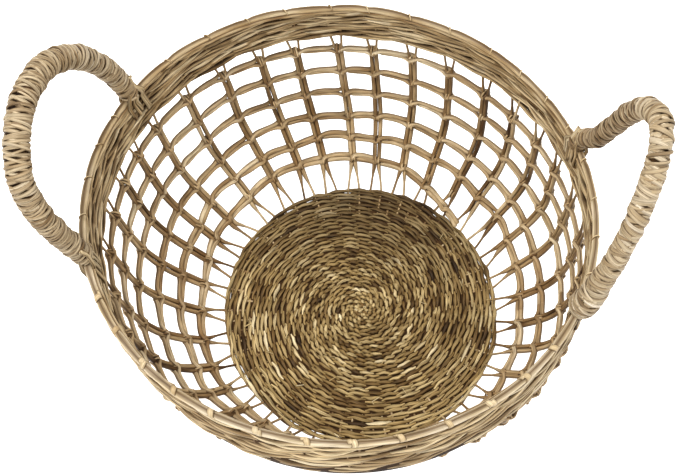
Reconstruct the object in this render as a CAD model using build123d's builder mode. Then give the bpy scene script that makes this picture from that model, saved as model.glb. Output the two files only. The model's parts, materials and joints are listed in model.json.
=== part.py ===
from build123d import *
import math
import os

# Seagrass storage basket: an open net woven over upright stakes, with a woven
# base, a close-woven rim band and two rope handles lashed over the rim.
# Origin: centre of the base, on the surface the basket stands on. +Z is up,
# +X points to the right handle and +Y to the back. Millimetres.

# ---- driving dimensions ----
rim_width = 420.0            # border strand, centre to centre, along the handles
rim_depth = 394.0            # border strand, centre to centre, across the handles
rim_height = 238.0           # centre of the border strand above the floor
rim_offset = -25.0           # the wall leans: the rim sits this far to the left
rim_band_oval = 0.982        # depth over width of the wall where the rim band begins
front_tuck = 15.0            # the front of the net is pulled in under the rim band
front_tuck_bottom = 25.0     # from this height up to the rim band

base_diameter = 272.0
base_weave_thickness = 2.2   # each of the two woven faces
base_row_pitch = 4.4         # one course of the base weave
base_groove = 0.4            # between two courses

stake_count = 36             # pairs of upright strands
stake_radius = 1.4           # one strand of a pair
stake_start_angle = 5.0
stake_start_radius = 40.0    # where the stakes begin, inside the base weave
stake_pair_gap = 3.0         # between the two strands of a pair, up the wall
stake_fan_gap = 10.0         # the same where a pair spreads into the rim band
# where the stakes wander from even spacing: angle, how far (degrees), over what spread
stake_drifts = [(145.0, 3.8, 14.0), (207.0, 1.8, 14.0), (53.0, -1.5, 15.0)]
centre_stake_count = 18
centre_stake_start = 9.0

net_row_heights = [157.0, 120.5, 85.5, 53.5, 32.0, 19.0]   # from the top row down
net_row_rise_left = 9.0      # the rows climb this much towards the left
net_row_rise_back = 9.0      # and this much towards the back
net_row_level_below = 40.0   # rows under this height climb less, down to none
net_strand_height = 5.0
net_strand_thickness = 4.0

band_bottom = 192.0
band_row_count = 7
band_strand_thickness = 3.6
border_radius = 4.2

handle_span = 152.0          # between the two places where a handle meets the rim
handle_core_radius = 6.5
handle_wrap_radius = 9.6
handle_wrap_start = 2.0      # the first turn of wrap, above the flex line
flex_line_height = 12.5      # the line a handle flexes about, above the border
flex_line_offset = 3.0       # and outside it

lashing_radius = 1.8
lashing_spacing = 4.6
lashing_count = 3            # strands inside, and as many outside, on each leg
lashing_low = 23.0           # how far a lashing reaches down the rim band
lashing_high_inside = 8.0    # and how far it stands above the border's centre
lashing_high_outside = 1.5

fit_gap = 0.35               # between strands that press on each other
net_gap = 0.9                # between the net rows and the stakes they hold
base_bend_radius = 12.0      # of the stakes where they turn up out of the base

# name, direction of the handle from the rim's centre, outward lean (degrees), and
# the rope's centre line: distance along the flex line, height up the handle
handles = [
    (
        "left", 173.0, 20.0,
        [(-76, 0), (-74, 28), (-66, 56), (-48, 86), (-22, 107), (8, 115), (38, 109), (62, 93),
         (74, 64), (77, 32), (77, 0)],
    ),
    (
        "right", -1.0, 15.0,
        [(-76, 0), (-70, 20), (-60, 48), (-45, 77), (-26, 101), (-2, 121), (18, 125), (37, 112),
         (49, 86), (53, 56), (57, 28), (70, 0)],
    ),
]

# ---- worked out ----
base_radius = base_diameter / 2
base_layer = base_weave_thickness + stake_radius + 0.1      # middle of the stakes
base_top = 2 * base_layer
rim_lean = rim_offset / (rim_height - base_top)
stake_step = 360.0 / stake_count
band_top = rim_height - border_radius - fit_gap / 2
band_row_pitch = (band_top - band_bottom) / band_row_count
band_strand_height = band_row_pitch - 0.2
handle_half_angle = math.degrees(math.asin(handle_span / (rim_depth + 2 * flex_line_offset)))

# The wall's middle line, as half widths and heights, from the base to the rim.
wall_outline = [
    (base_radius - 2.0, base_layer),
    (152.5, 19.5),
    (178.0, 44.0),
    (196.5, 78.0),
    (202.5, 122.0),
    (204.8, 157.0),
    (207.5, band_bottom),
    (rim_width / 2, rim_height),
]
net_corners = wall_outline[1:6]      # the corners where the strands of a pair run together


def wall_oval(height):
    """Depth over width of the wall: round at the base, oval at the rim."""
    if height <= band_bottom:
        return 1.0 + (rim_band_oval - 1.0) * height / band_bottom
    up_the_band = (height - band_bottom) / (rim_height - band_bottom)
    return rim_band_oval + (rim_depth / rim_width - rim_band_oval) * up_the_band


def tucked_in(height, turn):
    """How far the front of the net is pulled in at a height, round the front only."""
    up = (height - front_tuck_bottom) / (band_bottom - front_tuck_bottom)
    towards_front = (-math.sin(turn) - 0.55) / 0.45
    if not 0 < up < 1 or towards_front < 0:
        return 0.0
    return front_tuck * math.sin(math.pi * up) * towards_front**2


def wall_corner(half_width, height, angle, sideways=0.0):
    """A point round the basket at an angle, with the wall's lean, oval and tuck."""
    turn = math.radians(angle) + sideways / half_width
    centre_x = rim_lean * max(height - base_top, 0.0)
    half_depth = half_width * wall_oval(height) - tucked_in(height, turn)
    return Vector(centre_x + half_width * math.cos(turn), half_depth * math.sin(turn), height)


def rounded(points):
    """The route through some points, with corners as gentle as its runs allow."""
    radii = []
    for before, corner, after in zip(points, points[1:], points[2:]):
        run_in = corner - before
        run_out = after - corner
        half_turn = math.radians(run_in.get_angle(run_out)) / 2
        tangent = 0.45 * min(run_in.length, run_out.length)
        longest = base_bend_radius if corner.Z == base_layer else 250.0
        radii.append(min(tangent / math.tan(half_turn), longest))
    with BuildLine() as route:
        FilletPolyline(*points, radius=radii)
    return route.wire()


def straight(start, end):
    """The straight route between two points."""
    with BuildLine() as route:
        Line(start, end)
    return route.line


def wall_line(angle):
    """The wall's middle line at one angle."""
    return rounded([wall_corner(*corner, angle) for corner in wall_outline])


def wall_place(line, height):
    """The point of a wall line at a height, and the wall's outward normal there."""
    low, high = 0.0, 1.0
    for _ in range(30):
        middle = (low + high) / 2
        if line.position_at(middle).Z < height:
            low = middle
        else:
            high = middle
    point = line.position_at(low)
    along = line.tangent_at(low)
    outward = Vector(point.X, point.Y, 0).normalized()
    return point, (outward - along * outward.dot(along)).normalized()


def strand(route, width, thickness, side=None):
    """Sweep a strand with an oval section along a route."""
    with BuildSketch(Plane(route @ 0, x_dir=side, z_dir=route % 0)) as section:
        Ellipse(thickness / 2, width / 2)
    sweep(section.sketch, path=route)


course_angles = [index * 22.5 for index in range(16)]
course_lines = [wall_line(angle) for angle in course_angles]


def course(height, offset, width, thickness, rise_left=0.0, rise_back=0.0):
    """One closed flat strand round the wall, held off the wall's middle by offset."""
    places = []
    for angle, line in zip(course_angles, course_lines):
        turn = math.radians(angle)
        rise = rise_back * math.sin(turn) - rise_left * math.cos(turn)
        point, normal = wall_place(line, height + rise)
        places.append(point + normal * offset)
    right, back, left, front = places[::4]
    level = Plane((right + left) / 2, x_dir=right - left, z_dir=(right - left).cross(back - front))
    with BuildLine(level) as route:
        Spline(*[(local.X, local.Y) for local in map(level.to_local_coords, places)], periodic=True)
    strand(route.line, width, thickness, side=right - left)


def save(builder, name):
    """Label a finished piece and write it to its own file."""
    builder.part.label = name
    export_step(builder.part, f"parts/{name}.step")


os.makedirs("parts", exist_ok=True)


# ---- base: two woven faces, with the stakes between them ----
def woven_disc(bottom, ribs_up):
    """A disc with a groove between every two courses of its outer face."""
    rows = round((base_radius - centre_stake_start) / base_row_pitch)
    pitch = (base_radius - centre_stake_start) / rows
    top = bottom + base_weave_thickness
    face, back = (top, bottom) if ribs_up else (bottom, top)
    groove = face - base_groove if ribs_up else face + base_groove
    points = [(0, back), (base_radius, back), (base_radius, face)]
    for row in range(1, rows + 1):
        middle = base_radius - row * pitch
        points += [(middle + base_groove, face), (middle, groove), (middle - base_groove, face)]
    points += [(0, face)]
    with BuildSketch(Plane.XZ) as profile:
        with BuildLine() as outline:
            Polyline(*points, close=True)
        make_face(outline.edges())
    revolve(profile.sketch, axis=Axis.Z)


with BuildPart() as base_weave_lower:
    woven_disc(0.0, ribs_up=False)
save(base_weave_lower, "base_weave_lower")

with BuildPart() as base_weave_upper:
    woven_disc(base_top - base_weave_thickness, ribs_up=True)
    rising_stakes = base_radius - 7.0
    with BuildSketch(Plane.XY.offset(base_top - base_weave_thickness)):
        Circle(base_radius + 1.0)
        Circle(rising_stakes, mode=Mode.SUBTRACT)
    extrude(amount=2 * base_weave_thickness, mode=Mode.SUBTRACT)
save(base_weave_upper, "base_weave_upper")

with BuildPart() as base_centre_stakes:
    for index in range(centre_stake_count):
        turn = math.radians(index * 360.0 / centre_stake_count)
        ray = Vector(math.cos(turn), math.sin(turn), 0)
        height = Vector(0, 0, base_layer)
        start = ray * centre_stake_start + height
        end = ray * (stake_start_radius - 1.0) + height
        strand(straight(start, end), 2 * stake_radius, 2 * stake_radius)
save(base_centre_stakes, "base_centre_stakes")


# ---- stakes: pairs of strands from the base, up the wall and into the rim ----
def drifted(angle):
    """A stake's angle with the unevenness of weaving by hand."""
    return angle + sum(far * math.exp(-(((angle - at) / spread) ** 2)) for at, far, spread in stake_drifts)


def stake_strand(base_angle, side):
    """One strand of a pair: fanned out in the base and the rim band, paired between."""
    fanned = base_angle + side * stake_step / 4
    angle = drifted(base_angle)
    paired = side * stake_pair_gap / 2
    spread = side * stake_fan_gap / 2
    end = rim_height - border_radius - fit_gap
    points = [wall_corner(stake_start_radius, base_layer, fanned)]
    points += [wall_corner(*wall_outline[0], fanned)]
    points += [wall_corner(*corner, angle, paired) for corner in net_corners]
    points += [wall_corner(*wall_outline[-2], angle, spread)]
    points += [wall_corner(wall_outline[-1][0] - 0.2, end, angle, spread)]
    strand(rounded(points), 2 * stake_radius, 2 * stake_radius)


quarters = ["back_right", "back_left", "front_left", "front_right"]
for quarter, quarter_name in enumerate(quarters):
    with BuildPart() as stakes:
        for index in range(stake_count // 4):
            place = quarter * stake_count // 4 + index
            for side in (-1, 1):
                stake_strand(stake_start_angle + place * stake_step, side)
    save(stakes, f"stakes_{quarter_name}")


# ---- net rows: two strands, one passing inside the stakes and one outside ----
def net_row(height, offset):
    """One strand of an open row of the net."""
    climb = min(height / net_row_level_below, 1.0)
    course(
        height,
        offset,
        net_strand_height,
        net_strand_thickness,
        net_row_rise_left * climb,
        net_row_rise_back * climb,
    )


net_offset = stake_radius + net_gap + net_strand_thickness / 2
for row, height in enumerate(net_row_heights, start=1):
    with BuildPart() as inner_strand:
        net_row(height, -net_offset)
    save(inner_strand, f"net_row_{row}_inner")
    with BuildPart() as outer_strand:
        net_row(height, net_offset)
    save(outer_strand, f"net_row_{row}_outer")

# ---- rim band: courses packed close inside and outside the stakes ----
band_offset = stake_radius + fit_gap + band_strand_thickness / 2
for side_name, side in (("inner", -1), ("outer", 1)):
    with BuildPart() as band:
        for row in range(band_row_count):
            middle = band_bottom + (row + 0.5) * band_row_pitch
            course(middle, side * band_offset, band_strand_height, band_strand_thickness)
    save(band, f"rim_band_{side_name}_rows")

with BuildPart() as rim_border:
    course(rim_height - 0.01, 0.0, 2 * border_radius, 2 * border_radius)
save(rim_border, "rim_border")


# ---- handles: a rope core and its wrapping, flexing about a line at the rim ----
def rim_point(angle, outside, above):
    """A point beside the border strand."""
    turn = math.radians(angle)
    return Vector(
        rim_offset + (rim_width / 2 + outside) * math.cos(turn),
        (rim_depth / 2 + outside) * math.sin(turn),
        rim_height + above,
    )


def handle_plane(direction, lean):
    """The plane a handle stands in, with its origin midway along the flex line."""
    ends = [
        rim_point(direction + side * handle_half_angle, flex_line_offset, flex_line_height)
        for side in (-1, 1)
    ]
    chord = (ends[1] - ends[0]).normalized()
    outward = chord.cross(Vector(0, 0, 1))
    tilt = math.radians(lean)
    upright = Vector(0, 0, math.cos(tilt)) + outward * math.sin(tilt)
    return Plane((ends[0] + ends[1]) / 2, x_dir=chord, z_dir=chord.cross(upright))


def handle_route(plane, points):
    """The rope's centre line, up one leg, over the top and down the other."""
    with BuildLine(plane) as route:
        Spline(*points)
    return route.edge()


def lashing(angle):
    """Strands that tie one leg to the rim band, inside it and outside it."""
    offset = band_offset + band_strand_thickness / 2 + fit_gap + lashing_radius
    for number in range(lashing_count):
        sideways = (number - (lashing_count - 1) / 2) * lashing_spacing
        line = wall_line(angle + math.degrees(sideways / (rim_width / 2)))
        low, low_normal = wall_place(line, rim_height - lashing_low)
        high, high_normal = wall_place(line, rim_height - 1.0)
        for side, rise in ((-1, lashing_high_inside), (1, lashing_high_outside)):
            start = low + low_normal * side * offset
            end = high + high_normal * side * offset
            end += (end - start).normalized() * (1.0 + rise)
            strand(straight(start, end), 2 * lashing_radius, 2 * lashing_radius)


for name, direction, lean, points in handles:
    plane = handle_plane(direction, lean)
    route = handle_route(plane, points)
    start = handle_wrap_start / route.length
    wrapped = route.trim(start, 1 - start)
    print(name, "flex line", plane.origin, "along", plane.x_dir)

    with BuildPart() as handle_core:
        with BuildSketch(Plane(route @ 0, z_dir=route % 0)) as section:
            Circle(handle_core_radius)
        sweep(section.sketch, path=route)
        with Locations(route @ 0, route @ 1):
            Sphere(handle_core_radius)
    save(handle_core, f"{name}_handle_core")

    with BuildPart() as handle_wrap:
        with BuildSketch(Plane(wrapped @ 0, z_dir=wrapped % 0)) as section:
            Circle(handle_wrap_radius)
            Circle(handle_core_radius + 0.05, mode=Mode.SUBTRACT)
        sweep(section.sketch, path=wrapped)
    save(handle_wrap, f"{name}_handle_wrap")

    # seen from above, the first leg is at the smaller angle round the rim
    leg_places = ("front", "back") if name == "right" else ("back", "front")
    for side, place in zip((-1, 1), leg_places):
        with BuildPart() as leg_lashing:
            lashing(direction + side * handle_half_angle)
        save(leg_lashing, f"{name}_handle_{place}_lashing")
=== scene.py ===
import json
import math

import bpy
import numpy as np
from mathutils import Matrix, Vector


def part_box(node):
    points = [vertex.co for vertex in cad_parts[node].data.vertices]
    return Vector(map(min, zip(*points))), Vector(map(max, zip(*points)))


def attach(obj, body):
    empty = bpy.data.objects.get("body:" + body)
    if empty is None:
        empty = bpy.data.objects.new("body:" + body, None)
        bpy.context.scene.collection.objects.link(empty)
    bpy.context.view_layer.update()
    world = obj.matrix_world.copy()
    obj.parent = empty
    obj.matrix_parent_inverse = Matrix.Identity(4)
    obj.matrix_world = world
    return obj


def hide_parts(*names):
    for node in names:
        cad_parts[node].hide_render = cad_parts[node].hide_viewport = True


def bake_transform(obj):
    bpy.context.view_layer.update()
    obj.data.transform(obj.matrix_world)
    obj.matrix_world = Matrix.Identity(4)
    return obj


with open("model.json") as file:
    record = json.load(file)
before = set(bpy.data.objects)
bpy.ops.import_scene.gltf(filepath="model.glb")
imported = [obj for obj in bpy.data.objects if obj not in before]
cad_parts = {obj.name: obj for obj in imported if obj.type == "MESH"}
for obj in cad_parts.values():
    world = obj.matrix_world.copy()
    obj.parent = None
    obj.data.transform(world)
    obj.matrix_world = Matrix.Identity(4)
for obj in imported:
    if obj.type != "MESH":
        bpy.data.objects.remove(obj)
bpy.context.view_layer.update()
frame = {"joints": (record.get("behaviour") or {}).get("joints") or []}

# The basket's looks: every strand of the weave is its own swept tube, laid on
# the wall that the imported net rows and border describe.

rng = np.random.default_rng(11)
MM = 0.001

# ---- weave ----
STAKES = 36
STAKE_START = math.radians(5.0)
STAKE_DRIFTS = [(145.0, 3.8, 14.0), (207.0, 1.8, 14.0), (53.0, -1.5, 15.0)]
STAKE_STRAND = 4.7 * MM
STAKE_PAIR = 2.1 * MM             # either side of the pair's middle
STAKE_FAN = 5.0 * MM              # the same where a pair spreads into the band
THIN_STRAND = 2.4 * MM            # a strand on its own, in the spread parts

NET_ROWS = 6
NET_STRAND = 5.2 * MM
NET_APART = 2.0 * MM              # one strand above the other, between stakes
NET_ROUND_STAKE = 3.2 * MM        # one inside and one outside, at a pair of stakes
KNOT_STRAND = 2.3 * MM
NET_RISE_LEFT = 9.0 * MM
NET_RISE_BACK = 9.0 * MM
NET_LEVEL_BELOW = 40.0 * MM

LOWEST_ROW_START = math.radians(46)   # the lowest row doesn't reach the right of the wall
LOWEST_ROW_END = math.radians(304)
LOWEST_ROW_SETTLE = 0.5           # angle over which its ends come down to the base's edge
NET_ARCH = 0.6 * MM               # how far a row rises between two pairs of stakes
NET_CROSSING = 7.0                # how sharply its two strands change places at a pair
NET_PARTING = 0.14                # share of the way to the next pair over which they part

BAND_ROWS = 9
BAND_TWISTS = 13                  # whole turns of a twined row, once round the rim
BAND_SWING_OUT = 1.8 * MM
BAND_SWING_UP = 1.9 * MM
BAND_THICKNESS = 3.2 * MM
BAND_FRONT_BULGE = 5.0 * MM       # how far the front of the band stands out at its foot
TUCK_TURN = math.radians(12)      # how far to the right of the front the net is pulled in most
NET_EXTRA_TUCK = 6.0 * MM         # how much further than the CAD the front net is pulled in

TUCK_START = 0.35                 # how far towards the front the pull begins, as a sine
TUCK_POWER = 1.1
WALL_INSET = 2.0 * MM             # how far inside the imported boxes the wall's middle lies

TWINE_LEAF = 0.55                 # how much wider a twined strand is where it shows

BASE_ROW_PITCH = 4.1 * MM
BASE_CENTRE = 5.0 * MM            # where the first course begins
BASE_STRAND = 3.5 * MM
BASE_STRAND_THICKNESS = 2.5 * MM
BASE_SAG = 0.35 * MM
BASE_DIVIDE = 38.0 * MM           # beyond this radius the pairs of stakes have divided
BASE_EDGE = 2.2 * MM              # how far inside the base's edge the last course lies
BASE_TUFTS = 30
LAYER_STRAND = 10.0 * MM          # the wide dark strands between the base's two faces, painted shade seen through the gaps of the weave
LAYER_THICKNESS = 0.8 * MM
LAYER_PITCH = 8.0                 # from one to the next, in mm

BORDER_STRAND = 5.8 * MM
BORDER_SECOND = 3.4 * MM          # the thinner strand laid along the first
KNUCKLE_STRAND = 5.6 * MM
SEAM_STRAND = 1.3 * MM
BORDER_DIP = 0.8 * MM             # how far a tie pulls the border down
FLAT_TIES_BELOW = -0.3            # sine of the angle where the border's ties become flat ones

# ---- handles ----
HANDLE_LEAN = {"left": 20.0, "right": 15.0}
# a handle's centre line: distance along the hinge, height up the handle
HANDLE_SHAPE = {
    "left": [(-76, 0), (-74, 28), (-66, 56), (-48, 86), (-22, 107), (8, 115), (38, 109), (62, 93),
             (74, 64), (77, 32), (77, 0)],
    "right": [(-76, 0), (-70, 20), (-60, 48), (-45, 77), (-26, 101), (-2, 121), (18, 125), (37, 112),
              (49, 86), (53, 56), (57, 28), (70, 0)],
}
# how thick a handle is wound: at its ends, and how much more over the top and at the front root
HANDLE_RADIUS = {"left": (8.6, 1.8, 0.0), "right": (7.3, 1.5, 3.8)}
ROOT_SWELL_LENGTH = 38.0 * MM
HANDLE_BELOW_HINGE = 9.0 * MM
CORE_INSET = 3.6 * MM             # how much narrower than the winding the core is
COIL_STRANDS = 3                  # strands wound side by side in a layer
# a handle's layers: start and end as shares of its length, then mm from turn to turn, width and
# thickness, then how uneven it is, its tone and the hand it is wound with
HANDLE_LAYERS = {
    "left": [(0, 1, 3.1, 3.2, 2.6, 1.2, 0.33, 1), (0, 1, 4.5, 3.3, 2.2, 1.3, 0.42, -1)],
    "right": [(0, 0.64, 3.4, 4.0, 2.2, 1.2, 0.42, 1), (0, 0.64, 4.6, 4.8, 1.8, 1.2, 0.56, -1),
              (0.64, 1, 3.1, 2.7, 2.6, 1.3, 0.25, 1), (0.64, 1, 4.5, 2.8, 2.2, 1.3, 0.35, -1)],
}
LASHING_STRANDS = ((-1, 7), (1, 6))    # inside and outside the band
LASHING_WIDTH = 22.0 * MM         # along the rim
LASHING_ROOT = 11.0 * MM          # the same where its strands leave the handle

# ---- camera ----
CAMERA_FROM_RIM = Vector((0.0, -0.4246, 0.8788))
CAMERA_DOWN = math.radians(65.67)
CAMERA_TURN = math.radians(0.08)
CAMERA_ROLL = math.radians(2.47)
CAMERA_LENS = 63.06


# ---------------------------------------------------------------- the wall
def middle_and_half(node):
    """The middle of a node's box, and half its size."""
    low, high = (np.array(corner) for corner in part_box(node))
    return (low + high) / 2, (high - low) / 2


def smooth_curve(knots, values, places):
    """A smooth curve through values at knots, read at some places."""
    knots = np.asarray(knots, float)
    values = np.asarray(values, float)
    slopes = np.gradient(values, knots, axis=0)
    index = np.clip(np.searchsorted(knots, places) - 1, 0, len(knots) - 2)
    width = knots[index + 1] - knots[index]
    t = (places - knots[index]) / width
    if values.ndim > 1:
        width = width[:, None]
        t = t[:, None]
    start, end = values[index], values[index + 1]
    start_slope, end_slope = slopes[index] * width, slopes[index + 1] * width
    rise = end - start
    bend = start_slope + end_slope - 2 * rise
    return start + t * (start_slope + t * (3 * rise - 2 * start_slope - end_slope + t * bend))


BAND_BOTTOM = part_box("rim_band_outer_rows")[0][2]


def wall_outline():
    """Half width, depth at the back, height and tuck of the wall, base to rim."""
    _, base_half = middle_and_half("base_weave_lower")
    base_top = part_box("base_weave_upper")[1][2]
    rim, rim_half = middle_and_half("rim_border")
    border = rim_half[2]
    lean = rim[0] / (rim[2] - base_top)
    radius = base_half[0] - WALL_INSET
    outline = [(radius, radius, base_top / 2, 0)]
    for row in range(NET_ROWS, 0, -1):
        boxes = np.array([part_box(f"net_row_{row}_{side}") for side in ("inner", "outer")])
        low, high = boxes.mean(axis=0)
        half_width = (high[0] - low[0]) / 2 - WALL_INSET
        outline.append((half_width, high[1] - WALL_INSET, (high[2] + low[2]) / 2, high[1] + low[1]))
    half_x, half_y = rim_half[0] - border, rim_half[1] - border
    below = outline[-1]
    share = (BAND_BOTTOM - below[2]) / (rim[2] - below[2])
    outline.append((
        below[0] + (half_x - below[0]) * share,
        below[1] + (half_y - below[1]) * share,
        BAND_BOTTOM,
        -BAND_FRONT_BULGE,
    ))
    outline.append((half_x, half_y, rim[2], 0))
    outline = np.array(outline)
    outline[2:-2, 3] += NET_EXTRA_TUCK
    run = np.linalg.norm(np.diff(outline[:, [0, 2]], axis=0), axis=1)
    along = np.concatenate([[0], np.cumsum(run)])
    return along / along[-1], outline, lean, base_top


OUTLINE_ALONG, OUTLINE, LEAN, BASE_TOP = wall_outline()
UP = np.linspace(0, 1, 500)
HALF_X, HALF_Y, HEIGHT, FRONT_TUCK = smooth_curve(OUTLINE_ALONG, OUTLINE, UP).T
HEIGHT = np.maximum.accumulate(HEIGHT)    # never falling, so that a height has one place
RIM = Vector(middle_and_half("rim_border")[0])
RIM_HEIGHT = RIM.z
BASE_RADIUS = middle_and_half("base_weave_lower")[1][0]


def unit(vectors):
    """The vectors, each one long."""
    return vectors / np.linalg.norm(vectors, axis=-1, keepdims=True)


def up_at(height):
    """How far up the wall a height is, from 0 at the base to 1 at the rim."""
    return np.interp(height, HEIGHT, UP)


def wall_surface(angle, up):
    """Points of the wall's middle surface."""
    height = np.interp(up, UP, HEIGHT)
    x = LEAN * np.maximum(height - BASE_TOP, 0) + np.interp(up, UP, HALF_X) * np.cos(angle)
    towards_front = np.clip((-np.sin(angle - TUCK_TURN) - TUCK_START) / (1 - TUCK_START), 0, 1)
    depth = np.interp(up, UP, HALF_Y) - np.interp(up, UP, FRONT_TUCK) * towards_front**TUCK_POWER
    y = depth * np.sin(angle)
    return np.stack([x, y, height], axis=-1)


def wall_frame(angle, up):
    """Points of the wall, the way out of it and the way up it."""
    angle, up = np.broadcast_arrays(np.asarray(angle, float), np.asarray(up, float))
    step = 0.01
    round_it = wall_surface(angle + step, up) - wall_surface(angle - step, up)
    up_it = wall_surface(angle, np.minimum(up + step, 1)) - wall_surface(angle, np.maximum(up - step, 0))
    out = unit(np.cross(round_it, up_it))
    return wall_surface(angle, up), out, unit(up_it)


# ------------------------------------------------------------- small waves
def ripple(angle, size, fewest, most, terms=5):
    """A smooth irregular wave that closes on itself after a full turn."""
    total = np.zeros_like(angle)
    for _ in range(terms):
        total += np.sin(rng.integers(fewest, most) * angle + rng.uniform(0, 2 * math.pi))
    return total * size * math.sqrt(2 / terms)


def wander(count, spacing, size):
    """A slow irregular drift along an open path, with a swing every few points."""
    knots = rng.normal(0, size, max(count // spacing, 1) + 4)
    return smooth_curve(np.arange(len(knots)), knots, np.linspace(1, len(knots) - 3, count))


def stretch_tones(phase, shift, middle, spread, run=1):
    """A tone for each stretch of strand, changing where the strand is out of sight."""
    stretch = np.floor((phase + shift) / (2 * math.pi * run)).astype(int)
    table = rng.normal(middle, spread, stretch.max() - stretch.min() + 1)
    return table[stretch - stretch.min()]


# ------------------------------------------------------------ strand meshes
class Bundle:
    """Swept strands, gathered to make one mesh."""

    def __init__(self):
        self.points = []
        self.faces = []
        self.grain = []
        self.tones = []
        self.painted_flank_shade = []
        self.count = 0

    def add(self, path, outward, width, thickness, tone, sides=8, closed=False):
        """Sweep an oval section along a path, its thin way turned outward."""
        path = np.asarray(path, float)
        outward = np.broadcast_to(outward, path.shape)
        width = np.broadcast_to(width, len(path))
        thickness = np.broadcast_to(thickness, len(path))
        tone = np.broadcast_to(tone, len(path))
        if not closed:
            path, outward, width, thickness, tone = rounded_ends(
                path, outward, width, thickness, tone
            )
        tangent = np.roll(path, -1, 0) - np.roll(path, 1, 0) if closed else np.gradient(path, axis=0)
        tangent = unit(tangent)
        side = unit(np.cross(tangent, outward))
        top = np.cross(side, tangent)
        turn = np.arange(sides) * 2 * math.pi / sides
        across = np.cos(turn)[None, :] * width[:, None] / 2
        proud = np.sin(turn)[None, :] * thickness[:, None] / 2
        ring = side[:, None] * across[..., None] + top[:, None] * proud[..., None]
        run = np.linalg.norm(np.diff(path, axis=0), axis=1)
        along = np.concatenate([[0], np.cumsum(run)])
        along = np.broadcast_to(along[:, None], across.shape) + rng.uniform(0, 1)

        rings = len(path)
        first = np.arange(rings if closed else rings - 1)
        after = (first + 1) % rings
        here = np.arange(sides)
        beside = (here + 1) % sides
        corners = [
            first[:, None] * sides + here,
            after[:, None] * sides + here,
            after[:, None] * sides + beside,
            first[:, None] * sides + beside,
        ]
        self.faces.append(np.stack(corners, axis=-1).reshape(-1, 4) + self.count)
        self.points.append((path[:, None] + ring).reshape(-1, 3))
        self.grain.append(np.stack([across, proud, along], axis=-1).reshape(-1, 3))
        self.tones.append(np.repeat(tone, sides))
        # edge attribute: strongest on a strand's flanks, where the strand is darkened as painted shade
        # of the gaps between strands
        self.painted_flank_shade.append(np.tile(np.abs(np.cos(turn)) ** 3, len(path)))
        self.count += rings * sides

    def build(self, name, material, slot, nodes, body="basket", bends_to=None):
        """Make the mesh in place of its CAD nodes and parent it to its body; a handle's piece stays
        unparented.
        """
        points = np.concatenate(self.points)
        faces = np.concatenate(self.faces)
        mesh = bpy.data.meshes.new(name)
        mesh.vertices.add(len(points))
        mesh.vertices.foreach_set("co", points.ravel())
        mesh.loops.add(faces.size)
        mesh.loops.foreach_set("vertex_index", faces.ravel())
        mesh.polygons.add(len(faces))
        mesh.polygons.foreach_set("loop_start", np.arange(0, faces.size, 4))
        mesh.polygons.foreach_set("use_smooth", np.ones(len(faces), bool))
        mesh.update(calc_edges=True)
        grain = mesh.attributes.new("grain", "FLOAT_VECTOR", "POINT")
        grain.data.foreach_set("vector", np.concatenate(self.grain).ravel())
        tone = mesh.attributes.new("tone", "FLOAT", "POINT")
        tone.data.foreach_set("value", np.concatenate(self.tones))
        edge = mesh.attributes.new("edge", "FLOAT", "POINT")
        edge.data.foreach_set("value", np.concatenate(self.painted_flank_shade))
        mesh.materials.append(material)
        piece = bpy.data.objects.new(name, mesh)
        bpy.context.collection.objects.link(piece)
        if nodes:
            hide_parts(*nodes)
        if bends_to:
            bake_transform(piece)
        else:
            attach(piece, body)


def rounded_ends(path, outward, width, thickness, tone):
    """Two short rings more at each end of a strand, to close it round."""
    reach = min(thickness[0], thickness[-1]) * 0.5
    back = unit(path[0] - path[1]) * reach
    ahead = unit(path[-1] - path[-2]) * reach
    path = np.concatenate([[path[0] + back, path[0] + 0.7 * back], path,
                           [path[-1] + 0.7 * ahead, path[-1] + ahead]])
    narrowing = [0.02, 0.7]
    grow = np.concatenate([narrowing, np.ones(len(width)), narrowing[::-1]])
    pad = (2, 2)
    width = np.pad(width, pad, mode="edge") * grow
    thickness = np.pad(thickness, pad, mode="edge") * grow
    tone = np.pad(tone, pad, mode="edge")
    outward = np.pad(outward, (pad, (0, 0)), mode="edge")
    return path, outward, width, thickness, tone


def twine(bundle, path, out, up, phase, swing, width, thickness, spread, sides):
    """Two strands that twist round each other, flattened wide where they face out or in."""
    width = width * (1 + TWINE_LEAF * (np.abs(np.cos(phase)) - 0.6))
    for sign, shift in ((1, math.pi), (-1, 0)):
        tones = stretch_tones(phase, shift, 0.5, spread)
        turned = np.cos(phase)[:, None] * out * swing[0] + np.sin(phase)[:, None] * up * swing[1]
        bundle.add(path + sign * turned, out, width, thickness, tones, sides, closed=True)


# ---------------------------------------------------------------- materials
def linear(*srgb):
    """A colour as the shaders want it, from 0 to 255 screen values."""
    values = [value / 255 for value in srgb]
    return tuple(v / 12.92 if v < 0.04 else ((v + 0.055) / 1.055) ** 2.4 for v in values) + (1,)


def shades(*colours):
    """Shader colours from a strand's darkest tone to its palest."""
    return [linear(*colour) for colour in colours]


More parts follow.
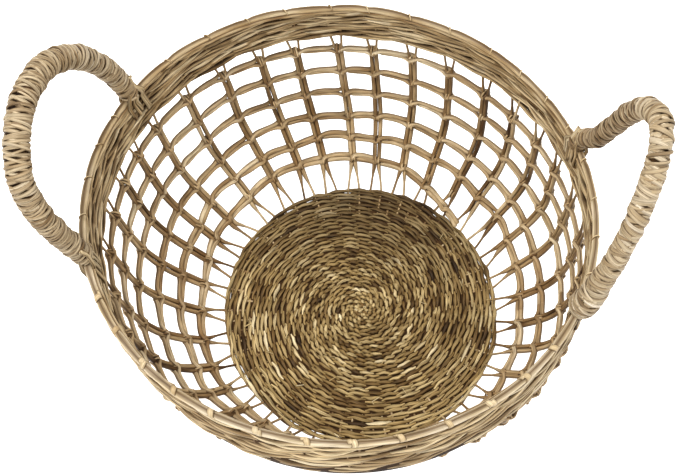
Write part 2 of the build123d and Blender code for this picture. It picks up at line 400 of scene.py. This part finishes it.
def fibre_material(name, tones, patch_colour, patch_amount, roughness, streak=0.55, dark_back=1.0):
    """Dry plant strand: a tone for each strand, fibres along it and soft patches over it."""
    material = bpy.data.materials.new(name)
    material.use_nodes = True
    nodes, links = material.node_tree.nodes, material.node_tree.links
    shader = nodes["Principled BSDF"]
    shader.inputs["Base Color"].default_value = tones[len(tones) // 2]
    shader.inputs["Roughness"].default_value = roughness
    shader.inputs["Specular IOR Level"].default_value = 0.35

    grain = nodes.new("ShaderNodeAttribute")
    grain.attribute_name = "grain"
    tone = nodes.new("ShaderNodeAttribute")
    tone.attribute_name = "tone"

    def noise(scale, detail, vector):
        texture = nodes.new("ShaderNodeTexNoise")
        texture.inputs["Scale"].default_value = scale
        texture.inputs["Detail"].default_value = detail
        links.new(vector, texture.inputs["Vector"])
        return texture.outputs["Fac"]

    def stretched(across, along):
        mapping = nodes.new("ShaderNodeMapping")
        mapping.inputs["Scale"].default_value = (across, across, along)
        links.new(grain.outputs["Vector"], mapping.inputs["Vector"])
        return mapping.outputs["Vector"]

    def mixed(factor, first, second, mode="MIX"):
        mix = nodes.new("ShaderNodeMix")
        mix.data_type = "RGBA"
        mix.blend_type = mode
        if isinstance(factor, float):
            mix.inputs["Factor"].default_value = factor
        else:
            links.new(factor, mix.inputs["Factor"])
        for socket, colour in ((mix.inputs["A"], first), (mix.inputs["B"], second)):
            if isinstance(colour, tuple):
                socket.default_value = colour
            else:
                links.new(colour, socket)
        return mix.outputs["Result"]

    def ramped(factor, stops):
        ramp = nodes.new("ShaderNodeValToRGB")
        elements = ramp.color_ramp.elements
        for index, (place, colour) in enumerate(stops):
            element = elements[index] if index < 2 else elements.new(place)
            element.position = place
            element.color = colour
        links.new(factor, ramp.inputs["Fac"])
        return ramp.outputs["Color"]

    fibres = noise(1.0, 4.0, stretched(1800.0, 45.0))
    lengths = noise(1.0, 2.0, stretched(120.0, 30.0))
    coordinates = nodes.new("ShaderNodeTexCoord")
    patches = noise(14.0, 3.0, coordinates.outputs["Object"])

    wobble = nodes.new("ShaderNodeMath")
    wobble.operation = "MULTIPLY_ADD"
    links.new(lengths, wobble.inputs[0])
    wobble.inputs[1].default_value = 0.8
    links.new(tone.outputs["Fac"], wobble.inputs[2])
    shifted = nodes.new("ShaderNodeMath")
    shifted.operation = "SUBTRACT"
    links.new(wobble.outputs[0], shifted.inputs[0])
    shifted.inputs[1].default_value = 0.4
    places = np.linspace(0, 1, len(tones))
    colour = ramped(shifted.outputs[0], list(zip(places, tones)))

    patch_mask = ramped(patches, [(0.45, (0, 0, 0, 1)), (0.68, (patch_amount,) * 3 + (1,))])
    colour = mixed(patch_mask, colour, patch_colour)
    low, high = 1 - streak, 1 + streak * 0.35
    streaks = ramped(fibres, [(0.32, (low, low * 0.97, low * 0.92, 1)), (0.62, (high,) * 3 + (1,))])
    colour = mixed(1.0, colour, streaks, "MULTIPLY")
    # painted shade: each strand darkened towards its flanks, standing in for the shade in the gaps
    # between strands
    edge = nodes.new("ShaderNodeAttribute")
    edge.attribute_name = "edge"
    painted_gap_shade = ramped(edge.outputs["Fac"], [(0.1, (1, 1, 1, 1)), (1.0, (0.2, 0.15, 0.1, 1))])
    colour = mixed(1.0, colour, painted_gap_shade, "MULTIPLY")
    # the colour made darker towards the back (+y), by a ramp over the object's y
    if dark_back < 1:
        split = nodes.new("ShaderNodeSeparateXYZ")
        links.new(coordinates.outputs["Object"], split.inputs["Vector"])
        back = nodes.new("ShaderNodeMapRange")
        back.inputs["From Min"].default_value = 0.02
        back.inputs["From Max"].default_value = 0.12
        links.new(split.outputs["Y"], back.inputs["Value"])
        darkest = (dark_back, dark_back * 0.93, dark_back * 0.85, 1)
        back_darkening = ramped(back.outputs["Result"], [(0, (1, 1, 1, 1)), (1, darkest)])
        colour = mixed(1.0, colour, back_darkening, "MULTIPLY")
    links.new(colour, shader.inputs["Base Color"])

    rough = nodes.new("ShaderNodeMapRange")
    rough.inputs["To Min"].default_value = roughness + 0.12
    rough.inputs["To Max"].default_value = roughness - 0.12
    links.new(fibres, rough.inputs["Value"])
    links.new(rough.outputs["Result"], shader.inputs["Roughness"])
    bump = nodes.new("ShaderNodeBump")
    bump.inputs["Strength"].default_value = 0.55
    bump.inputs["Distance"].default_value = 0.5 * MM
    links.new(fibres, bump.inputs["Height"])
    links.new(bump.outputs["Normal"], shader.inputs["Normal"])
    return material


NET_LOOK = fibre_material(
    "net_seagrass",
    shades((90, 64, 38), (158, 130, 92), (194, 169, 130), (214, 192, 155), (238, 222, 190)),
    linear(140, 104, 62), patch_amount=0.45, roughness=0.58, streak=0.6,
)
BAND_LOOK = fibre_material(
    "band_seagrass",
    shades((104, 80, 48), (162, 137, 98), (200, 176, 136), (218, 198, 160), (234, 218, 186)),
    linear(140, 112, 70), patch_amount=0.4, roughness=0.62, streak=0.7,
)
BASE_LOOK = fibre_material(
    "base_seagrass",
    shades((64, 44, 20), (120, 94, 54), (172, 147, 99), (206, 184, 137), (236, 219, 180)),
    linear(112, 88, 50), patch_amount=0.25, roughness=0.62, streak=0.7, dark_back=0.44,
)
BORDER_LOOK = fibre_material(
    "border_cane",
    shades((146, 118, 80), (178, 152, 112), (204, 182, 144), (216, 197, 162), (228, 212, 184)),
    linear(176, 146, 102), patch_amount=0.4, roughness=0.48, streak=0.35,
)
HANDLE_LOOK = fibre_material(
    "handle_wrap_strand",
    shades((118, 94, 64), (164, 143, 112), (190, 172, 142), (206, 190, 163), (226, 212, 190)),
    linear(164, 138, 98), patch_amount=0.45, roughness=0.52, streak=0.5,
)
# dark material for the pieces that stand in for shade: painted shade seen through gaps in the weave and
# between windings
SHADE_LOOK = fibre_material(
    "dark_fill_painted_shade",
    shades((64, 44, 22), (80, 56, 30), (96, 70, 40)),
    linear(60, 42, 20), patch_amount=0.5, roughness=0.85,
)


# -------------------------------------------------------------------- base
def base_stakes_at(radius):
    """How many strands radiate through the base at a radius: pairs divide outward."""
    return STAKES // 2 if radius < BASE_DIVIDE else STAKES


def base_row(bundle, radius):
    """One course of the base, twined round the radiating strands."""
    stakes = base_stakes_at(radius)
    angle = np.linspace(0, 2 * math.pi, stakes * 9, endpoint=False)
    radii = radius + ripple(angle, 0.45 * MM, 3, 14) + ripple(angle, 0.25 * MM, 20, 60)
    sag = ripple(angle, BASE_SAG / 2, 2, 12)
    zero = np.zeros_like(angle)
    ray = np.stack([np.cos(angle), np.sin(angle), zero], axis=-1)
    path = ray * radii[:, None] + np.stack([zero, zero, BASE_TOP / 2 + sag], axis=-1)
    width = BASE_STRAND + ripple(angle, 0.25 * MM, 10, 60)
    up = np.broadcast_to([0.0, 0.0, 1.0], path.shape)
    phase = angle * stakes / 2 + rng.normal(0, 0.35) + ripple(angle, 0.2, 2, 9)
    swing = (BASE_TOP / 2 - BASE_STRAND_THICKNESS / 2 - BASE_SAG, 1.0 * MM)
    twine(bundle, path, up, ray, phase, swing, width, BASE_STRAND_THICKNESS, spread=0.17, sides=6)


def tufts(bundle, count):
    """Short stray ends that stand out of the base."""
    for _ in range(count):
        angle = rng.uniform(0, 2 * math.pi)
        radius = BASE_RADIUS * math.sqrt(rng.uniform(0.01, 0.95))
        heading = angle + math.pi / 2 + rng.normal(0, 0.7)
        length = rng.uniform(3, 9) * MM
        t = np.linspace(0, 1, 5)
        x = radius * math.cos(angle) + length * t * math.cos(heading)
        y = radius * math.sin(angle) + length * t * math.sin(heading)
        z = BASE_TOP - 0.6 * MM + 1.6 * MM * t * rng.uniform(0.4, 1.3)
        path = np.stack([x, y, z], axis=-1)
        width = rng.uniform(0.7, 1.6) * MM
        bundle.add(path, (0.0, 0.0, 1.0), width, 0.8 * MM, rng.uniform(0.6, 1.0), 6)


def make_base():
    """The woven base, in an inner and an outer piece, over a dark middle layer that is painted shade in
    its gaps.
    """
    rows = round((BASE_RADIUS - 2 * MM - BASE_CENTRE) / BASE_ROW_PITCH)
    radii = np.linspace(BASE_CENTRE, BASE_RADIUS - BASE_EDGE, rows)
    inner, outer, middle = Bundle(), Bundle(), Bundle()
    for radius in radii:
        base_row(outer if base_stakes_at(radius) == STAKES else inner, radius)
    tufts(inner, BASE_TUFTS)
    for angle in np.linspace(0, math.pi, 5, endpoint=False):
        ray = np.array([math.cos(angle), math.sin(angle), 0])
        path = np.linspace(-1, 1, 7)[:, None] * ray * (BASE_CENTRE + 2 * MM)
        path += np.array([0, 0, BASE_TOP / 2])
        inner.add(path, (0.0, 0.0, 1.0), 3 * MM, 3 * MM, rng.uniform(0.3, 0.8))
    # dark rings between the base's faces: painted shade seen through the gaps of the weave
    angle = np.linspace(0, 2 * math.pi, 120, endpoint=False)
    for radius in np.arange(6, BASE_RADIUS / MM - 4, LAYER_PITCH) * MM:
        level = np.full_like(angle, BASE_TOP / 2)
        path = np.stack([radius * np.cos(angle), radius * np.sin(angle), level], axis=-1)
        middle.add(path, (0.0, 0.0, 1.0), LAYER_STRAND, LAYER_THICKNESS, 0.5, closed=True)
    inner.build("base_inner_courses", BASE_LOOK, "base_weave", ["base_weave_upper"])
    outer.build("base_outer_courses", BASE_LOOK, "base_weave", ["base_weave_lower"])
    middle.build("base_middle_painted_shade", SHADE_LOOK, "base_weave", ["base_centre_stakes"])


# ------------------------------------------------------------------ stakes
def stake_angles():
    """The angle of every pair of stakes, a little uneven as they are by hand."""
    even = np.degrees(EVEN_ANGLES)
    drift = sum(far * np.exp(-(((even - at) / spread) ** 2)) for at, far, spread in STAKE_DRIFTS)
    return EVEN_ANGLES + np.radians(drift + rng.normal(0, 0.35, STAKES))


EVEN_ANGLES = STAKE_START + np.arange(STAKES) * 2 * math.pi / STAKES
STAKE_ANGLES = stake_angles()
WRAPPED_ANGLES = np.concatenate([
    STAKE_ANGLES[-2:] - 2 * math.pi, STAKE_ANGLES, STAKE_ANGLES[:2] + 2 * math.pi
])
WRAPPED_COUNTS = np.arange(-2, STAKES + 2)


def stakes_passed(angle):
    """How many stakes lie before an angle, with fractions between them."""
    return np.interp(angle, WRAPPED_ANGLES, WRAPPED_COUNTS)


def stake_strand(bundle, index, side):
    """One strand of a pair, from inside the base to under the border."""
    up = np.linspace(0, up_at(RIM_HEIGHT - 4 * MM), 90)
    height = np.interp(up, UP, HEIGHT)
    lowest_row = OUTLINE[1, 2]
    highest_row = OUTLINE[NET_ROWS, 2]
    in_base = np.clip(1 - (height - BASE_TOP / 2) / (lowest_row - BASE_TOP / 2), 0, 1)
    in_band = np.clip((height - highest_row) / (BAND_BOTTOM - highest_row), 0, 1)
    radius = np.interp(up, UP, HALF_X)
    fanned = math.pi / STAKES / 2 * radius
    apart = STAKE_PAIR + (fanned - STAKE_PAIR) * in_base + (STAKE_FAN - STAKE_PAIR) * in_band
    lift = wander(len(up), 12, 0.35 * MM)
    middle = EVEN_ANGLES[index] * in_base + STAKE_ANGLES[index] * (1 - in_base)
    angles = middle + (side * apart + wander(len(up), 14, 0.3 * MM)) / radius
    path, out, _ = wall_frame(angles, up)
    path = path + out * lift[:, None]
    thin = np.maximum(np.minimum(in_base * 2.5, 1), np.minimum(in_band * 2, 1))
    width = STAKE_STRAND + (THIN_STRAND - STAKE_STRAND) * thin
    width = width * (1 + wander(len(up), 9, 0.05))
    start = path[0] * np.array([0.8, 0.8, 1.0])
    root = start + np.linspace(0, 1, 6, endpoint=False)[:, None] * (path[0] - start)
    path = np.concatenate([root, path])
    width = np.concatenate([np.full(6, width[0]), width])
    out = np.concatenate([np.repeat(out[:1], 6, 0), out])
    bundle.add(path, out, width, width * 0.95, rng.normal(0.34, 0.17), 7)


def make_stakes():
    """All the stakes, a quarter of the basket to a piece."""
    quarters = ["back_right", "back_left", "front_left", "front_right"]
    for quarter, name in enumerate(quarters):
        bundle = Bundle()
        for index in range(quarter * STAKES // 4, (quarter + 1) * STAKES // 4):
            for side in (-1, 1):
                stake_strand(bundle, index, side)
        bundle.build(f"stakes_of_{name}", NET_LOOK, "net", [f"stakes_{name}"])


# -------------------------------------------------------------------- net
def net_height(row, angle):
    """A net row's height above the floor at each angle."""
    middle = OUTLINE[NET_ROWS + 1 - row, 2]
    climb = min(middle / NET_LEVEL_BELOW, 1)
    rise = -NET_RISE_LEFT * np.cos(angle) + NET_RISE_BACK * np.sin(angle)
    return middle + climb * rise


def knot(bundle, row, middle):
    """Two small loops that bind a net row to a pair of stakes."""
    turn = np.linspace(0, 2 * math.pi, 14, endpoint=False)
    radius = np.interp(up_at(OUTLINE[NET_ROWS + 1 - row, 2]), UP, HALF_X)
    for side in (-1, 1):
        angle = np.array([middle + side * (KNOT_STRAND * 0.55 + rng.normal(0, 0.3) * MM) / radius])
        path, out, up = wall_frame(angle, up_at(net_height(row, angle)))
        deep = NET_ROUND_STAKE + NET_STRAND * 0.28 + rng.normal(0, 0.2) * MM
        tall = NET_STRAND * 0.75 + rng.normal(0, 0.35) * MM
        radial = out * (deep * np.cos(turn))[:, None] + up * (tall * np.sin(turn))[:, None]
        tone = rng.normal(0.4, 0.14)
        bundle.add(path + radial, unit(radial), KNOT_STRAND, KNOT_STRAND * 0.6, tone, 6, closed=True)


def net_row(row):
    """An open row: two strands that twist past each other at every pair of stakes."""
    bundle = Bundle()
    closed = row < NET_ROWS
    if closed:
        angle = np.linspace(0, 2 * math.pi, STAKES * 20, endpoint=False)
    else:
        angle = np.linspace(LOWEST_ROW_START, LOWEST_ROW_END, STAKES * 15)
    height = net_height(row, angle) + ripple(angle, 0.9 * MM, 3, 17)
    if not closed:
        edge = BASE_TOP * 0.8
        leaving = np.clip((angle - angle[0]) / LOWEST_ROW_SETTLE, 0, 1)
        arriving = np.clip((angle[-1] - angle) / LOWEST_ROW_SETTLE, 0, 1)
        height = edge + (height - edge) * (leaving * arriving)
    passed = stakes_passed(angle)
    path, out, up = wall_frame(angle, up_at(height))
    arch = np.abs(np.sin(math.pi * passed))
    path = path + up * (NET_ARCH * arch)[:, None]
    crossing = np.tanh(NET_CROSSING * np.sin(math.pi * passed)) * (1 + ripple(angle, 0.1, 6, 40))
    nearest = np.round(passed)
    at_stake = np.exp(-(((passed - nearest) / NET_PARTING) ** 2)) * np.cos(math.pi * nearest)
    width = NET_STRAND * (1 + ripple(angle, 0.07, 8, 50))
    for sign in (1, -1):
        tones = stretch_tones(math.pi * passed, 0, 0.55, 0.15, 1.5)
        apart = up * (NET_APART * crossing)[:, None] + out * (NET_ROUND_STAKE * at_stake)[:, None]
        bundle.add(path + sign * apart, out, width, width * 0.8, tones, 8, closed)
    for middle in STAKE_ANGLES:
        if closed or angle[0] < middle < angle[-1]:
            knot(bundle, row, middle)
    nodes = [f"net_row_{row}_inner", f"net_row_{row}_outer"]
    bundle.build(f"net_row_{row}", NET_LOOK, "net", nodes)


# -------------------------------------------------------------------- rim
def make_band():
    """The close-woven band under the border."""
    bundle = Bundle()
    top = RIM_HEIGHT - BORDER_STRAND / 2
    pitch = (top - BAND_BOTTOM) / BAND_ROWS
    for row in range(BAND_ROWS):
        angle = np.linspace(0, 2 * math.pi, STAKES * 12, endpoint=False)
        height = BAND_BOTTOM + (row + 0.5) * pitch + ripple(angle, 0.5 * MM, 4, 20)
        path, out, up = wall_frame(angle, up_at(height))
        out_of_line = ripple(angle, 0.35 * MM, 6, 40)
        path = path + out * out_of_line[:, None]
        phase = (BAND_TWISTS + row % 3) * angle + 1.7 * row + ripple(angle, 0.5, 3, 9)
        width = pitch * (0.94 + ripple(angle, 0.1, 6, 60))
        thickness = BAND_THICKNESS * (1 + ripple(angle, 0.05, 6, 60))
        swing = (BAND_SWING_OUT, BAND_SWING_UP)
        twine(bundle, path, out, up, phase, swing, width, thickness, spread=0.2, sides=9)
    # a dark sheet in the middle of the band: painted shade seen through the gaps between its strands
    angle = np.linspace(0, 2 * math.pi, 180, endpoint=False)
    path, out, _ = wall_frame(angle, up_at((BAND_BOTTOM + top) / 2))
    shade_sheet = Bundle()
    shade_sheet.add(path, out, (top - BAND_BOTTOM) * 0.94, 1.6 * MM, 0.5, 10, closed=True)
    shade_sheet.build("rim_band_painted_shade", SHADE_LOOK, "rim_band", [])
    bundle.build("rim_band", BAND_LOOK, "rim_band", ["rim_band_inner_rows", "rim_band_outer_rows"])


def border_tie(bundle, middle, turns, strand, tone):
    """A strand wound round the border at a pair of stakes."""
    t = np.linspace(0, 1, 30)
    turn = 2 * math.pi * turns * t + rng.uniform(0, 2 * math.pi)
    across = (t - 0.5) * strand * 0.5 + 1.6 * MM * np.cos(turn + rng.normal(0, 0.3))
    spot, way_out, way_up = wall_frame(middle + across / HALF_X[-1], np.ones_like(t))
    radial = way_out * np.cos(turn)[:, None] + way_up * np.sin(turn)[:, None]
    reach = BORDER_STRAND * 0.43
    bundle.add(spot + radial * reach, radial, strand, SEAM_STRAND * 1.2, rng.normal(tone, 0.1), 8)


def make_border():
    """The pale strand along the top, tied down at every pair of stakes."""
    bundle = Bundle()
    angle = np.linspace(0, 2 * math.pi, STAKES * 16, endpoint=False)
    near = np.abs(stakes_passed(angle) - np.round(stakes_passed(angle)))
    path, out, up = wall_frame(angle, np.ones_like(angle))
    dip = BORDER_DIP * np.exp(-(near / 0.12) ** 2)
    path = path + up * (ripple(angle, 0.5 * MM, 5, 20) - dip)[:, None]
    width = BORDER_STRAND * (1 + ripple(angle, 0.05, 8, 40) - 0.12 * np.exp(-(near / 0.1) ** 2))
    # tone varies at random along the strand; its paling towards the front is painted light, where the
    # lamp falls on it
    tones = 0.7 + ripple(angle, 0.12, 5, 30) - 0.25 * np.sin(angle)
    bundle.add(path, out, width, width, tones, 12, closed=True)
    roll = ripple(angle, 0.25, 2, 9) - 0.9
    beside = up * np.sin(roll)[:, None] - out * np.cos(roll)[:, None]
    second = path + beside * (BORDER_STRAND + BORDER_SECOND) * 0.42
    # the second strand's tone varies at random too; its paling towards the front is painted light
    tones = 0.5 + ripple(angle, 0.2, 9, 50) - 0.2 * np.sin(angle)
    bundle.add(second, out, BORDER_SECOND, BORDER_SECOND * 0.9, tones, 8, closed=True)
    # the flat ties at the front get a paler tone, painted light where the lamp falls on them
    for middle in STAKE_ANGLES:
        if math.sin(middle) < FLAT_TIES_BELOW:
            border_tie(bundle, middle, 1.15, KNUCKLE_STRAND, 0.65)
        else:
            border_tie(bundle, middle, 1.0, SEAM_STRAND, 0.45)
    bundle.build("rim_border_strand", BORDER_LOOK, "border_cane", ["rim_border"])


# ----------------------------------------------------------------- handles
def handle_line(name, count=400):
    """A handle's centre line, from one root over the top to the other, and its plane."""
    joint = next(j for j in frame["joints"] if j["name"] == f"{name}_handle_flex")
    origin = np.array(joint["pos_m"])
    chord = unit(np.array(joint["axis"], float))
    outward = np.cross(chord, [0.0, 0.0, 1.0])
    lean = math.radians(HANDLE_LEAN[name])
    upright = np.array([0, 0, math.cos(lean)]) + outward * math.sin(lean)
    normal = np.cross(chord, upright)
    shape = np.array(HANDLE_SHAPE[name], float) * MM
    below = np.array([0, HANDLE_BELOW_HINGE])
    shape = np.concatenate([shape[:1] - below, shape, shape[-1:] - below])
    run = np.concatenate([[0], np.cumsum(np.linalg.norm(np.diff(shape, axis=0), axis=1))])
    x, y = smooth_curve(run, shape, np.linspace(0, run[-1], count)).T
    line = origin + x[:, None] * chord + y[:, None] * upright
    s = np.concatenate([[0], np.cumsum(np.linalg.norm(np.diff(line, axis=0), axis=1))])
    return s, line, normal


def handle_radius(name, s, total):
    """Radius of the wound handle along its line."""
    end, swell, root = HANDLE_RADIUS[name]
    top = np.sin(math.pi * np.clip(s / total, 0, 1)) ** 0.7
    return (end + swell * top + root * np.exp(-((s / ROOT_SWELL_LENGTH) ** 2))) * MM


def coil(bundle, name, start, end, pitch, width, thickness, rough, tone, hand):
    """Strands wound side by side round a handle, between two shares of its length."""
    pitch, width, thickness = pitch * MM, width * MM, thickness * MM
    line_s, line, normal = handle_line(name)
    total = line_s[-1]
    turns = (end - start) * total / (pitch * COIL_STRANDS)
    count = int(turns * 18)
    t = np.linspace(0, 1, count)
    for number in range(COIL_STRANDS):
        turn = hand * 2 * math.pi * (turns * t + number / COIL_STRANDS)
        s = total * (start + (end - start) * t) + wander(count, 7, rough * 0.75 * MM)
        s = np.clip(s, 0, total)
        spot = np.stack([np.interp(s, line_s, line[:, axis]) for axis in range(3)], axis=-1)
        ahead = np.stack([np.interp(s + MM, line_s, line[:, axis]) for axis in range(3)], axis=-1)
        behind = np.stack([np.interp(s - MM, line_s, line[:, axis]) for axis in range(3)], axis=-1)
        tangent = unit(ahead - behind)
        side = unit(np.cross(normal, tangent))
        radial = side * np.cos(turn)[:, None] + normal * np.sin(turn)[:, None]
        thick = thickness * (1 + wander(count, 11, 0.08 * rough))
        radius = handle_radius(name, s, total) - thick / 2 + wander(count, 8, 0.4 * MM * rough)
        wide = width * (1 + wander(count, 10, 0.14 * rough))
        tones = tone + wander(count, 22, 0.16)
        bundle.add(spot + radial * radius[:, None], radial, wide, thick, tones, 8)


def make_handle(name):
    """The wound handle, and the core that it is wound on, coloured dark as painted shade between the
    windings.
    """
    s, line, normal = handle_line(name)
    total = s[-1]
    bundle = Bundle()
    for layer in HANDLE_LAYERS[name]:
        coil(bundle, name, *layer)
    handle = f"{name}_handle"
    bundle.build(f"{handle}_windings", HANDLE_LOOK, "handle_wrap", [f"{handle}_wrap"], bends_to=handle)
    # the core is a real part; its dark colour is painted shade seen between the windings
    core = Bundle()
    across = 2 * handle_radius(name, s, total) - CORE_INSET
    core.add(line, normal, across, across, 0.5, 14)
    core.build(f"{handle}_bundle", SHADE_LOOK, "handle_core", [f"{handle}_core"], bends_to=handle)


def lash_strand(bundle, root, angle, side, drop, width):
    """One strand from inside a leg, over the rim and down one face of the band."""
    rim_spot, out, up = wall_frame(np.array([angle]), np.array([1.0]))
    depth = BAND_SWING_OUT + BAND_THICKNESS / 2 + 0.9 * MM
    low_up = up_at(RIM_HEIGHT - drop)
    low, low_out, _ = wall_frame(np.array([angle]), np.array([low_up]))
    top = root + np.array([0, 0, 20 * MM])
    points = np.array([
        top,
        root + np.array([0, 0, 9 * MM]) + out[0] * side * 3.5 * MM,
        rim_spot[0] + out[0] * side * 5.2 * MM + np.array([0, 0, 2 * MM]),
        rim_spot[0] + out[0] * side * depth - np.array([0, 0, 6 * MM]),
        low[0] + low_out[0] * side * depth,
        low[0] + low_out[0] * side * (depth - 2.6 * MM) - np.array([0, 0, 4 * MM]),
    ])
    knots = np.arange(len(points))
    path = smooth_curve(knots, points, np.linspace(0, len(points) - 1, 26))
    path += wander(len(path), 6, 0.5 * MM)[:, None] * np.cross(out[0], [0, 0, 1])
    bundle.add(path, out[0] * side, width, width * 0.8, rng.normal(0.65, 0.26), 8)


def make_lashings(name):
    """The strands that hold a handle's two legs to the rim."""
    _, line, _ = handle_line(name)
    places = ("back", "front") if name == "left" else ("front", "back")
    for place, root in zip(places, (line[0], line[-1])):
        bundle = Bundle()
        middle = math.atan2(root[1] / HALF_Y[-1], (root[0] - RIM.x) / HALF_X[-1])
        for side, count in LASHING_STRANDS:
            for number in range(count):
                spread = (number - (count - 1) / 2) / count
                angle = middle + spread * LASHING_WIDTH / HALF_X[-1] + rng.normal(0, 0.006)
                along = np.array([-math.sin(middle), math.cos(middle), 0])
                start = root + along * spread * LASHING_ROOT
                drop = rng.uniform(15, 27) * MM
                lash_strand(bundle, start, angle, side, drop, rng.uniform(2.6, 3.8) * MM)
        nodes = [f"{name}_handle_{place}_lashing"]
        bundle.build(f"{name}_{place}_lashing", BAND_LOOK, "lashing", nodes, bends_to=f"{name}_handle")


# ------------------------------------------------------------------ set-up
def make_floor():
    """A plain pale floor."""
    bpy.ops.mesh.primitive_plane_add(size=8)
    floor = bpy.context.object
    floor.name = "floor"
    material = bpy.data.materials.new("floor")
    material.use_nodes = True
    shader = material.node_tree.nodes["Principled BSDF"]
    shader.inputs["Base Color"].default_value = (0.9, 0.9, 0.9, 1)
    shader.inputs["Roughness"].default_value = 0.9
    shader.inputs["Emission Color"].default_value = (1, 1, 1, 1)
    shader.inputs["Emission Strength"].default_value = 0.65
    floor.data.materials.append(material)


def area_light(name, place, size, power):
    """A soft square light aimed at the basket."""
    data = bpy.data.lights.new(name, "AREA")
    data.shape = "SQUARE"
    data.size = size
    data.energy = power
    light = bpy.data.objects.new(name, data)
    light.location = place
    light.rotation_euler = (Vector((0, 0, 0.1)) - Vector(place)).to_track_quat("-Z", "Y").to_euler()
    bpy.context.collection.objects.link(light)


def make_lights():
    """Bright even surroundings, a soft key light and a weaker fill."""
    world = bpy.data.worlds.new("studio")
    bpy.context.scene.world = world
    world.use_nodes = True
    background = world.node_tree.nodes["Background"]
    background.inputs["Color"].default_value = (1, 1, 1, 1)
    background.inputs["Strength"].default_value = 0.47
    area_light("key", (-0.6, -0.4, 2.4), size=0.9, power=45)
    area_light("fill", (1.4, 0.6, 1.8), size=1.6, power=14)
    bpy.context.scene.view_settings.view_transform = "Standard"
    bpy.context.scene.view_settings.look = "Medium High Contrast"


def make_camera():
    """The camera, above the front of the basket and looking steeply down."""
    data = bpy.data.cameras.new("camera")
    data.lens = CAMERA_LENS
    data.sensor_width = 36
    camera = bpy.data.objects.new("camera", data)
    bpy.context.collection.objects.link(camera)
    forward = Vector((
        math.sin(CAMERA_TURN) * math.cos(CAMERA_DOWN),
        math.cos(CAMERA_TURN) * math.cos(CAMERA_DOWN),
        -math.sin(CAMERA_DOWN),
    ))
    right = forward.cross(Vector((0, 0, 1))).normalized()
    top = right.cross(forward)
    rolled_right = right * math.cos(CAMERA_ROLL) + top * math.sin(CAMERA_ROLL)
    rolled_top = top * math.cos(CAMERA_ROLL) - right * math.sin(CAMERA_ROLL)
    turned = Matrix((rolled_right, rolled_top, -forward)).transposed()
    camera.matrix_world = Matrix.Translation(RIM + CAMERA_FROM_RIM) @ turned.to_4x4()
    bpy.context.scene.camera = camera


make_floor()
make_lights()
make_camera()
make_base()
make_stakes()
for row in range(1, NET_ROWS + 1):
    net_row(row)
make_band()
make_border()
for name in ("left", "right"):
    make_handle(name)
    make_lashings(name)
